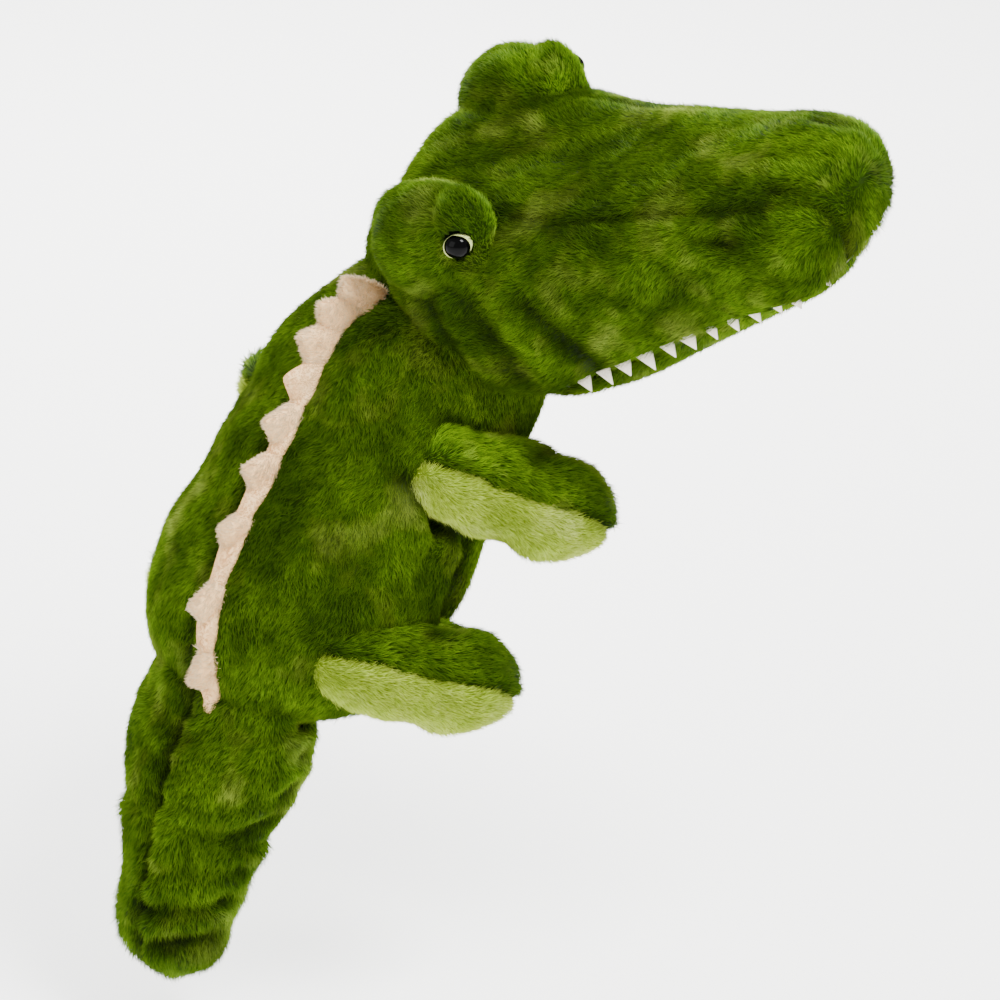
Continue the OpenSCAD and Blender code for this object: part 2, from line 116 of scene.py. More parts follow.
HEAD_FRAME = Matrix.Translation(NECK) @ turn("Z", -69) @ turn("Y", -7) @ turn("X", 18.6)
MOUTH_FRAME = HEAD_FRAME @ Matrix.Translation(JAW_HINGE) @ turn("Y", -MOUTH_SLOPE)


class Side(Enum):
    """Left or right of the puppet; the value is the sign of Y."""

    RIGHT = -1
    LEFT = 1


# ------------------------------------------------------------------ colour
def linear(code: str) -> tuple[float, float, float, float]:
    """Turns an sRGB hex colour into linear light.

    Args:
        code: six hex digits with or without a leading #.
    Returns:
        red, green, blue and alpha.
    """
    code = code.lstrip("#")
    out = []
    for i in (0, 2, 4):
        c = int(code[i : i + 2], 16) / 255
        out.append(c / 12.92 if c <= 0.04045 else ((c + 0.055) / 1.055) ** 2.4)
    return out[0], out[1], out[2], 1.0


class Graph:
    """A material's nodes, with one way to add and link them."""

    def __init__(self, name: str) -> None:
        self.material = bpy.data.materials.new(name)
        self.material.use_nodes = True
        self.tree = self.material.node_tree
        self.tree.nodes.clear()
        self.count = 0

    def add(self, kind: str, links: dict[str | int, object] | None = None,
            **settings: object) -> bpy.types.Node:
        """Adds a node.

        Args:
            kind: the node's type name.
            links: input name or number to a value, or to (node, output).
            settings: attributes of the node.
        Returns:
            The new node.
        """
        node = self.tree.nodes.new(kind)
        node.location = (220 * self.count, 0)
        self.count += 1
        for key, value in settings.items():
            setattr(node, key, value)
        for key, value in (links or {}).items():
            socket = node.inputs[key]
            if isinstance(value, tuple) and value and isinstance(value[0], bpy.types.Node):
                self.tree.links.new(value[0].outputs[value[1]], socket)
            else:
                socket.default_value = value
        return node

    def ramp(self, source: tuple, stops: list[tuple[float, str]]) -> bpy.types.Node:
        """A colour ramp over source, with (position, hex colour) stops."""
        node = self.add("ShaderNodeValToRGB", {"Fac": source})
        e = node.color_ramp.elements
        while len(e) < len(stops):
            e.new(0.5)
        for slot, (at, code) in zip(e, stops):
            slot.position = at
            slot.color = linear(code)
        return node

    def mix(self, how: str, factor: object, a: object, b: object) -> tuple:
        """Mixes two colours and returns the output."""
        node = self.add("ShaderNodeMix", {0: factor, 6: a, 7: b}, data_type="RGBA", blend_type=how)
        return node, 2

    def math(self, how: str, a: object, b: object = 0.5) -> tuple:
        """A sum, product or other operation on two numbers."""
        node = self.add("ShaderNodeMath", {0: a, 1: b}, operation=how, use_clamp=True)
        return node, 0

    def noise(self, size_mm: float, detail: float = 2.0) -> tuple:
        """Noise whose features are about size_mm across on the real object."""
        at = self.add("ShaderNodeTexCoord")
        node = self.add(
            "ShaderNodeTexNoise",
            {"Vector": (at, "Object"), "Scale": 1000.0 / size_mm, "Detail": detail},
        )
        return node, 0

    def finish(self, colour: object, **values: object) -> bpy.types.Material:
        """Adds the surface and the output.

        Args:
            colour: a linear colour or a (node, output) pair.
            values: inputs of the surface, with _ for each space.
        Returns:
            The material.
        """
        links = {"Base Color": colour}
        links.update({k.replace("_", " "): v for k, v in values.items()})
        surface = self.add("ShaderNodeBsdfPrincipled", links)
        self.add("ShaderNodeOutputMaterial", {"Surface": (surface, 0)})
        return self.material


@dataclass(frozen=True)
class PlushFinish:
    """Pile cloth: painted shade at the roots, paler at the tips, painted highlight and painted shade in
    patches.
    """

    name: str
    root: str
    middle: str
    tip: str
    # The last three fields: the painted highlight colour, the painted shade colour, and how strong these and
    # each tuft's own tone are.
    light: str
    painted_shade: str
    tone_and_painted_light: float = 0.75

    def build(self) -> bpy.types.Material:
        """Makes the material."""
        g = Graph(self.name)
        tip = g.add("ShaderNodeAttribute", attribute_name="tip")
        shade = g.add("ShaderNodeAttribute", attribute_name="shade")
        fold = g.add("ShaderNodeAttribute", attribute_name="fold")
        # Roots are dark because light doesn't reach them; tips catch it.
        base = g.ramp((tip, "Fac"), [(0.0, self.root), (0.45, self.middle), (1.0, self.tip)])
        # Painted highlight: paler patches a few centimetres wide, stronger towards the tips.
        painted_highlight = g.ramp(g.noise(26.0, 3.5), [(0.52, "#000000"), (0.78, "#ffffff")])
        amount = g.math("MULTIPLY", (painted_highlight, "Color"), (tip, "Fac"))
        col = g.mix("MIX", g.math("MULTIPLY", amount, self.tone_and_painted_light), (base, "Color"), linear(self.light))
        # Painted shade: darker patches a few centimetres wide, as of shaded gaps between tufts.
        painted_shade_patches = g.ramp(g.noise(38.0, 3.0), [(0.38, "#ffffff"), (0.62, self.painted_shade)])
        col = g.mix("MULTIPLY", self.tone_and_painted_light, col, (painted_shade_patches, "Color"))
        # Darker streaks a centimetre wide, in the same painted shade colour, break the patches up again.
        streaks = g.ramp(g.noise(9.0, 2.0), [(0.38, "#ffffff"), (0.62, self.painted_shade)])
        col = g.mix("MULTIPLY", self.tone_and_painted_light * 0.6, col, (streaks, "Color"))
        # Each tuft differs a little from the next.
        each = g.ramp((shade, "Fac"), [(0.0, "#7a7a7a"), (1.0, "#ffffff")])
        col = g.mix("MULTIPLY", self.tone_and_painted_light * 0.8, col, (each, "Color"))
        # Cloth in a fold or a seam is shaded.
        dark = g.ramp((fold, "Fac"), [(0.0, "#ffffff"), (1.0, "#3a3f30")])
        col = g.mix("MULTIPLY", 0.85, col, (dark, "Color"))
        return g.finish(col, Roughness=0.8, Specular_IOR_Level=0.06)


@dataclass(frozen=True)
class ClothFinish:
    """Felt, woven lining or board: one colour with a fine mottled surface."""

    name: str
    colour: str
    shade: str
    grain_mm: float
    roughness: float = 0.9

    def build(self) -> bpy.types.Material:
        """Makes the material."""
        g = Graph(self.name)
        # Fine fibres break up the flat colour.
        fibres = g.ramp(g.noise(self.grain_mm, 4.0), [(0.3, self.shade), (0.7, self.colour)])
        bump = g.add("ShaderNodeBump", {"Strength": 0.25, "Distance": 0.0004,
                                        "Height": g.noise(self.grain_mm * 0.6, 2.0)})
        return g.finish((fibres, "Color"), Roughness=self.roughness, Normal=(bump, 0))


@dataclass(frozen=True)
class GlossFinish:
    """Polished plastic, as on a safety eye."""

    name: str
    colour: str
    roughness: float

    def build(self) -> bpy.types.Material:
        """Makes the material."""
        g = Graph(self.name)
        # A very smooth surface gives a sharp highlight on deep black.
        return g.finish(linear(self.colour), Roughness=self.roughness, Specular_IOR_Level=0.07)


class Finishes:
    """Every material of the puppet, made once."""

    def __init__(self) -> None:
        plush, cloth, gloss = PlushFinish, ClothFinish, GlossFinish
        # Plush colours: root, middle, tip, then the painted highlight colour, then the painted shade colour.
        self.back = plush("long_plush_dark_green",
                          "#152200", "#4a7000", "#8ab212", "#d0de66", "#8c9968").build()
        self.side = plush("long_plush_leaf_green",
                          "#182700", "#507900", "#88b012", "#d4e26c", "#7c8958").build()
        self.throat = plush("long_plush_light_green",
                          "#1f3000", "#5c8604", "#9cc420", "#ccd866", "#8f9b6c").build()
        self.under = plush("short_plush_lime", "#62780e", "#b4cc3c", "#e6f478", "#f2faa2", "#cdd8a0").build()
        self.ridge = plush("short_plush_peach_cream", "#f9cf98", "#ffe2b4", "#fff0d0", "#fff6e2", "#f3dfc0",
                           0.3).build()
        self.felt = cloth("felt_cream_white", "#efe8d6", "#d8ceb6", 1.2).build()
        self.eye_felt = cloth("felt_pale_green", "#c3ca84", "#9fa95a", 1.2).build()
        self.lining = cloth("woven_lining_olive", "#46521f", "#333d14", 0.8).build()
        self.mouth = cloth("smooth_cloth_dull_red", "#8e2b2a", "#6d1d1f", 0.9).build()
        self.board = cloth("fibre_board_grey", "#9a978c", "#84827a", 1.5).build()
        self.washer = gloss("plastic_white_washer", "#e4e2dc", 0.4).build()
        self.eye = gloss("plastic_black_gloss_eye", "#020202", 0.05).build()


# ------------------------------------------------------------------ soft forms
@dataclass(frozen=True)
class Ring:
    """One section: centre, tilt, reach forward, back and sideways, squareness."""

    x: float
    z: float
    tilt: float
    fwd: float
    back: float
    side: float
    square: float = 2.1
    y: float = 0.0


def rings_of(*rows: tuple[float, ...]) -> list[Ring]:
    """Sections from rows of a Ring's values."""
    return [Ring(*row) for row in rows]


def smooth_rows(rows: Array, t: Array) -> Array:
    """Catmull-Rom curve through rows, at places t from 0 to len(rows) - 1."""
    n = len(rows) - 1
    i = np.clip(np.floor(t).astype(int), 0, n - 1)
    f = (t - i)[:, None]
    p0, p1, p2, p3 = rows[np.maximum(i - 1, 0)], rows[i], rows[i + 1], rows[np.minimum(i + 2, n)]
    return 0.5 * (2 * p1 + (p2 - p0) * f + (2 * p0 - 5 * p1 + 4 * p2 - p3) * f**2
                  + (3 * p1 - p0 - 3 * p2 + p3) * f**3)


@dataclass
class Valley:
    """A seam or fold: how far each point is from it, how wide and how deep."""

    distance: Field
    width: float
    depth: float


def plane(point: tuple[float, float, float], normal: tuple[float, float, float]) -> Field:
    """Signed distance from a plane."""
    p, n = np.array(point), np.array(normal) / np.linalg.norm(normal)
    return lambda v: (v - p) @ n


def path(*points: tuple[float, float, float]) -> Field:
    """Distance from a line of points."""
    pts = np.array(points, float)

    def far(v: Array) -> Array:
        best = np.full(len(v), 1e9)
        for a, b in zip(pts, pts[1:]):
            t = np.clip(((v - a) @ (b - a)) / ((b - a) @ (b - a)), 0, 1)
            best = np.minimum(best, np.linalg.norm(v - a - t[:, None] * (b - a), axis=1))
        return best

    return far


def crease(width: float, depth: float, *points: tuple[float, float, float]) -> Valley:
    """A fold along a line of points."""
    return Valley(path(*points), width, depth)


@dataclass
class Soft:
    """A soft surface in its own frame: vertices, faces and fold depth."""

    verts: Array
    faces: list[tuple[int, ...]]
    fold: Array
    place: Matrix

    def world(self) -> Array:
        """Vertices in the row's frame, in millimetres."""
        m = np.array(self.place)
        return self.verts @ m[:3, :3].T + m[:3, 3]

    def tree(self) -> BVHTree:
        """A search tree over the surface, in the row's frame."""
        return BVHTree.FromPolygons([Vector(v) for v in self.world()], self.faces)


def bend_sphere(rings: list[Ring], around: int, rows: int, open_start: bool = False) -> bmesh.types.BMesh:
    """Bends a sphere's grid over rings.

    Args:
        rings: the sections, first to last.
        around: points round each section.
        rows: rows from the first section to the last.
        open_start: leaves the first end open.
    Returns:
        The new mesh, in millimetres.
    """
    bm = bmesh.new()
    bmesh.ops.create_uvsphere(bm, u_segments=around, v_segments=rows, radius=1.0)
    table = np.array([(r.x, r.z, r.tilt, r.fwd, r.back, r.side, r.square, r.y) for r in rings])
    co = np.array([v.co for v in bm.verts])
    down = np.arccos(np.clip(co[:, 2], -1, 1)) / math.pi
    t = np.clip((down - 1 / rows) / (1 - 2 / rows), 0, 1) * (len(rings) - 1)
    a = np.arctan2(co[:, 1], co[:, 0])
    r = smooth_rows(table, t)
    pole = (down < 0.5 / rows) | (down > 1 - 0.5 / rows)
    c, s, e = np.cos(a), np.sin(a), 2 / np.clip(r[:, 6], 1.5, 8)
    u = np.where(c >= 0, r[:, 3], r[:, 4]) * np.sign(c) * np.abs(c) ** e * ~pole
    w = r[:, 5] * np.sign(s) * np.abs(s) ** e * ~pole
    k = np.radians(r[:, 2])
    new = np.stack([r[:, 0] + u * np.cos(k), r[:, 7] + w, r[:, 1] - u * np.sin(k)], 1)
    for v, p in zip(bm.verts, new):
        v.co = p
    if open_start:
        bm.verts.ensure_lookup_table()
        top = [v for v, p in zip(bm.verts, down) if p < 0.5 / rows]
        bmesh.ops.delete(bm, geom=top, context="VERTS")
    bmesh.ops.recalc_face_normals(bm, faces=bm.faces)
    return bm


def faces_of(bm: bmesh.types.BMesh, base: int = 0) -> list[tuple[int, ...]]:
    """Faces as vertex numbers, counted from base, in an order that is the same on every run."""
    out = []
    for f in bm.faces:
        ring = [x.index + base for x in f.verts]
        k = ring.index(min(ring))
        out.append(tuple(ring[k:] + ring[:k]))
    return sorted(out)


def lumps(v: Array, size: float, seed: int) -> Array:
    """Smooth rise and fall over a surface, from -1 to 1."""
    rng = np.random.default_rng(seed)
    out = np.zeros(len(v))
    for _ in range(7):
        d = rng.normal(size=3)
        d *= 2 * math.pi / size / np.linalg.norm(d) * rng.uniform(0.6, 1.4)
        out += np.sin(v @ d + rng.uniform(0, 6.28))
    return out / 4


def shape_soft(bm: bmesh.types.BMesh, place: Matrix, valleys: list[Valley], seed: int,
               lump: float = 1.2, lump_size: float = 60.0) -> Soft:
    """Gives a form its seams, folds and uneven filling.

    Args:
        bm: the form, which is freed.
        place: from its own frame to the row's.
        valleys: seams and folds.
        seed: for the uneven filling.
        lump: height of the unevenness.
        lump_size: its width.
    Returns:
        The shaped surface.
    """
    bm.normal_update()
    v = np.array([x.co for x in bm.verts])
    n = np.array([x.normal for x in bm.verts])
    faces = faces_of(bm)
    bm.free()
    tri = np.array([(f[0], f[i], f[i + 1]) for f in faces for i in range(1, len(f) - 1)])
    a, b, c = (v[tri[:, k]] - v.mean(0) for k in range(3))
    if (a * np.cross(b, c)).sum() < 0:
        faces, n = [f[::-1] for f in faces], -n
    fold = np.zeros(len(v))
    move = lumps(v, lump_size, seed) * lump
    for item in valleys:
        d = np.abs(item.distance(v)) / item.width
        dip = np.exp(-d**1.5)
        move -= dip * item.depth
        move += 0.35 * item.depth * np.exp(-((d - 1.9) ** 2))
        fold = np.maximum(fold, dip * min(1.0, item.depth / 3.0, 8.0 / item.width))
    return Soft(v + n * move[:, None], faces, np.clip(fold, 0, 1), place)


# ------------------------------------------------------------------ pile
@dataclass(frozen=True)
class Pile:
    """How the pile stands: sizes in millimetres, density per square millimetre."""

    length: float
    width: float
    density: float
    lift: float
    clump: float = 0.35
    clump_size: float = 5.0
    spread: float = 0.28


LONG = Pile(length=5.0, width=0.62, density=1.55, lift=0.32, clump=0.28, clump_size=4.2)
MEDIUM = Pile(length=4.2, width=0.6, density=1.6, lift=0.36, clump=0.28, clump_size=4.0)
FLUFFY = Pile(length=6.5, width=0.66, density=1.35, lift=0.4)
RIDGE = Pile(length=2.6, width=0.7, density=1.6, lift=0.5, clump=0.2, clump_size=3.5)


def unit(v: Array) -> Array:
    """Rows scaled to length 1."""
    return v / np.maximum(np.linalg.norm(v, axis=1, keepdims=True), 1e-9)


def hash_rows(cells: Array) -> Array:
    """Three even random numbers for each row of whole numbers."""
    a = cells.astype(np.int64)
    h = (a[:, 0] * 73856093) ^ (a[:, 1] * 19349663) ^ (a[:, 2] * 83492791)
    out = []
    for k in (2654435761, 40503 * 7919, 97531 * 6151):
        out.append(((h * k) % 1000003) / 1000003.0)
    return np.stack(out, 1)


class Pelt:
    """One panel: its cloth and the pile that grows from it, as one mesh."""

    def __init__(self, soft: Soft, keep: Field | None, style: Pile, flow: Field, seed: int) -> None:
        """Takes the part of soft where keep is positive.

        Args:
            soft: the surface.
            keep: above 0 on the panel, in the surface's own frame.
            style: how the pile stands.
            flow: which way the pile lies, in the surface's own frame.
            seed: for the pile.
        """
        self.soft, self.style, self.flow = soft, style, flow
        self.rng = np.random.default_rng(seed)
        v = soft.verts
        if keep is None:
            self.faces = soft.faces
        else:
            centre = np.array([v[list(f)].mean(0) for f in soft.faces])
            ok = keep(centre) > 0
            self.faces = [f for f, k in zip(soft.faces, ok) if k]

    def build(self, name: str, material: bpy.types.Material, hidden_in: list[BVHTree] | None = None,
              thick: float = CLOTH) -> bpy.types.Object:
        """Makes the panel's object.

        Args:
            name: the object's name.
            material: its finish.
            hidden_in: closed surfaces; pile rooted inside one is left out.
            thick: thickness of the cloth.
        Returns:
            The object, in the row's frame and in metres.
        """
        soft, v = self.soft, self.soft.verts
        tri = np.array([(f[0], f[i], f[i + 1]) for f in self.faces for i in range(1, len(f) - 1)])
        a, b, c = v[tri[:, 0]], v[tri[:, 1]], v[tri[:, 2]]
        cross = np.cross(b - a, c - a)
        area = np.linalg.norm(cross, axis=1) / 2
        normal = np.zeros_like(v)
        for k in range(3):
            np.add.at(normal, tri[:, k], cross)
        normal = unit(normal)
        count = int(area.sum() * self.style.density)
        pick = self.rng.choice(len(tri), count, p=area / area.sum())
        r1, r2 = np.sqrt(self.rng.random(count)), self.rng.random(count)
        w = np.stack([1 - r1, r1 * (1 - r2), r1 * r2], 1)
        root = (v[tri[pick]] * w[:, :, None]).sum(1)
        up = unit((normal[tri[pick]] * w[:, :, None]).sum(1))
        fold = (soft.fold[tri[pick]] * w).sum(1)
        m = np.array(soft.place)
        if hidden_in:
            keep = np.ones(count, bool)
            for i, p in enumerate(root @ m[:3, :3].T + m[:3, 3]):
                for tree in hidden_in:
                    at, n, _, far = tree.find_nearest(Vector(p), 40.0)
                    if at is not None and (Vector(p) - at).dot(n) < -BURIED:
                        keep[i] = False
                        break
            root, up, fold = root[keep], up[keep], fold[keep]
        verts, tris, tip, shade, dark, uv = self.tufts(root, up, fold)
        cloth = self.cloth(thick)
        return join_panel(name, cloth, (verts, tris, tip, shade, dark, uv), soft.place, material)

    def tufts(self, root: Array, up: Array, fold: Array) -> tuple[Array, ...]:
        """Grows a tapering three-sided tuft from each root."""
        s, rng, n = self.style, self.rng, len(root)
        lay = self.flow(root)
        lay = unit(lay - up * (lay * up).sum(1, keepdims=True))
        side = np.cross(up, lay)
        sway = 0.55 * lumps(root, 42.0, 5) + 0.3 * lumps(root, 17.0, 9) + rng.normal(0, s.spread, n)
        lay = lay * np.cos(sway)[:, None] + side * np.sin(sway)[:, None]
        lift = np.clip(s.lift + 0.16 * lumps(root, 24.0, 3) + rng.normal(0, 0.1, n), 0.12, 0.95)
        long = s.length * (1 + 0.22 * rng.normal(size=n)).clip(0.5, 1.6) * (1 - 0.35 * fold)
        way = unit(lay * np.sqrt(1 - lift**2)[:, None] + up * lift[:, None])
        tip = root + way * long[:, None]
        cell = np.floor(root / s.clump_size)
        centre = (cell + hash_rows(cell)) * s.clump_size
        centre = centre + way * (s.length * 0.9)
        pull = centre - tip
        pull -= up * (pull * up).sum(1, keepdims=True) * 0.7
        tip = tip + pull * (s.clump * rng.random((n, 1)))
        across = unit(np.cross(way, up))
        wide = s.width * rng.uniform(0.6, 1.15, n)[:, None]
        base = root - up * 0.4
        verts = np.stack([base - across * wide / 2, base + across * wide / 2,
                          base + up * wide * 0.75 - way * wide * 0.2, tip], 1)
        k = np.arange(n)[:, None, None] * 4
        tris = k + np.array([[1, 0, 3], [2, 1, 3], [0, 2, 3]])[None]
        cols = max(1, int(math.ceil(math.sqrt(n))))
        cu, cv = (np.arange(n) % cols) / cols, (np.arange(n) // cols) / cols
        h = 1 / cols
        local = np.array([[0.2, 0.15], [0.8, 0.15], [0.5, 0.85]])
        uv = np.stack([cu, cv], 1)[:, None, None, :] + local[None, None] * h
        uv = np.broadcast_to(uv, (n, 3, 3, 2)).reshape(-1, 3, 2).copy()
        uv[..., 1] = 0.2 + uv[..., 1] * 0.8
        tipness = np.tile([0.0, 0.0, 0.12, 1.0], n)
        shade = np.repeat(np.clip(rng.normal(0.6, 0.22, n), 0, 1), 4)
        return verts.reshape(-1, 3), tris.reshape(-1, 3), tipness, shade, np.repeat(fold, 4), uv

    def cloth(self, thick: float) -> bmesh.types.BMesh:
        """The panel's cloth, with its thickness inward."""
        bm = bmesh.new()
        used = sorted({i for f in self.faces for i in f})
        index = {}
        layer = bm.verts.layers.float.new("fold")
        inward = bm.verts.layers.float_vector.new("inward")
        for i in used:
            p = bm.verts.new(self.soft.verts[i])
            p[layer] = float(self.soft.fold[i])
            index[i] = p
        for f in self.faces:
            bm.faces.new([index[i] for i in f])
        bm.normal_update()
        if thick:
            for p in bm.verts:
                p[inward] = -p.normal
            made = bmesh.ops.extrude_face_region(bm, geom=bm.faces[:], use_keep_orig=True)
            for p in made["geom"]:
                if isinstance(p, bmesh.types.BMVert):
                    p.co += p[inward] * thick
            bmesh.ops.recalc_face_normals(bm, faces=bm.faces[:])
        return bm


def join_panel(name: str, cloth: bmesh.types.BMesh, pile: tuple[Array, ...], place: Matrix,
               material: bpy.types.Material) -> bpy.types.Object:
    """Joins a panel's cloth and pile in one object and frees the cloth."""
    pv, pt, tip, shade, dark, uv = pile
    layer = cloth.verts.layers.float.get("fold")
    cloth.verts.index_update()
    cv = np.array([x.co for x in cloth.verts]).reshape(-1, 3)
    cf = [[x.index for x in f.verts] for f in cloth.faces]
    fold = np.array([x[layer] for x in cloth.verts]) if layer else np.zeros(len(cv))
    cloth.free()
    nc = len(cv)
    m = np.array(place)
    co = np.concatenate([cv, pv]) @ m[:3, :3].T + m[:3, 3]
    sizes = np.array([len(f) for f in cf] + [3] * len(pt))
    loops = np.concatenate([np.array([i for f in cf for i in f], int), (pt + nc).ravel()])
    mesh = bpy.data.meshes.new(name)
    mesh.vertices.add(len(co))
    mesh.vertices.foreach_set("co", (co * MM).ravel())
    mesh.loops.add(len(loops))
    mesh.loops.foreach_set("vertex_index", loops)
    mesh.polygons.add(len(sizes))
    mesh.polygons.foreach_set("loop_start", np.concatenate([[0], np.cumsum(sizes)[:-1]]))
    mesh.polygons.foreach_set("use_smooth", np.ones(len(sizes), bool))
    mesh.update(calc_edges=True)
    for key, data in (("tip", np.concatenate([np.full(nc, 0.15), tip])),
                      ("shade", np.concatenate([np.full(nc, 0.5), shade])),
                      ("fold", np.concatenate([fold, dark]))):
        mesh.attributes.new(key, "FLOAT", "POINT").data.foreach_set("value", data.astype(np.float32))
    flat = np.zeros((len(loops), 2))
    nl = int(sizes[: len(cf)].sum())
    span = np.ptp(cv, axis=0)
    order = np.argsort(-span)
    lo = cv.min(0)
    sel = cv[loops[:nl]]
    flat[:nl, 0] = (sel[:, order[0]] - lo[order[0]]) / max(span[order[0]], 1e-6)
    flat[:nl, 1] = (sel[:, order[1]] - lo[order[1]]) / max(span[order[1]], 1e-6) * 0.19
    flat[nl:] = uv.reshape(-1, 2)
    mesh.uv_layers.new(name="OFBake").data.foreach_set("uv", flat.ravel())
    mesh.materials.append(material)
    obj = bpy.data.objects.new(name, mesh)
    bpy.context.collection.objects.link(obj)
    log.info("%s: %d faces", name, len(sizes))
    return obj


def plain(name: str, bm: bmesh.types.BMesh, place: Matrix, material: bpy.types.Material) -> bpy.types.Object:
    """Makes an object of a plain mesh in millimetres, and frees the mesh."""
    bmesh.ops.transform(bm, matrix=Matrix.Scale(MM, 4) @ place, verts=bm.verts)
    mesh = bpy.data.meshes.new(name)
    bm.to_mesh(mesh)
    bm.free()
    mesh.materials.append(material)
    for p in mesh.polygons:
        p.use_smooth = True
    obj = bpy.data.objects.new(name, mesh)
    bpy.context.collection.objects.link(obj)
    log.info("%s: %d faces", name, len(mesh.polygons))
    return obj


# ------------------------------------------------------------------ sub-assemblies
def pose_of(at: Vector, side: Side) -> Matrix:
    """Turns +Z to the way a limb points: out, forward and down, an arm more than a leg."""
    return Matrix.Translation(at) @ turn("Z", side.value * 25) @ turn("Y", 115 if at.z > 80 else 108)


def lie(x: float, y: float, z: float) -> Field:
    """Pile that lies one way all over."""
    way = np.array([x, y, z])
    return lambda v: np.broadcast_to(way, v.shape)


def attach(obj: bpy.types.Object, body: str, nodes: tuple[str, ...]) -> None:
    """Args:
        obj: the piece.
        body: the body it rides on.
        nodes: the nodes that it stands for.
    """
    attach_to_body(obj, body)
    if nodes:
        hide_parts(*nodes)


@dataclass(frozen=True)
class Cut:
    """A plush panel: its name, the nodes it stands for, its finish, its slot and its pile's seed."""

    name: str
    nodes: tuple[str, ...]
    finish: bpy.types.Material
    slot: str
    seed: int

    def lay(self, body: str, soft: Soft, keep: Field | None, style: Pile, flow: Field,
            hidden: list[BVHTree] | None = None, fill: float = 0.7, thick: float = CLOTH) -> None:
        """Makes the panel and fixes it to its body.

        Args:
            body: the body it rides on.
            soft, keep, style, flow: as in Pelt.
            hidden: closed surfaces that the pile isn't rooted in.
            fill: how tightly it is stuffed; not used.
            thick: thickness of its cloth.
        """
        obj = Pelt(soft, keep, style, flow, self.seed).build(self.name, self.finish, hidden, thick)
        attach(obj, body, self.nodes)


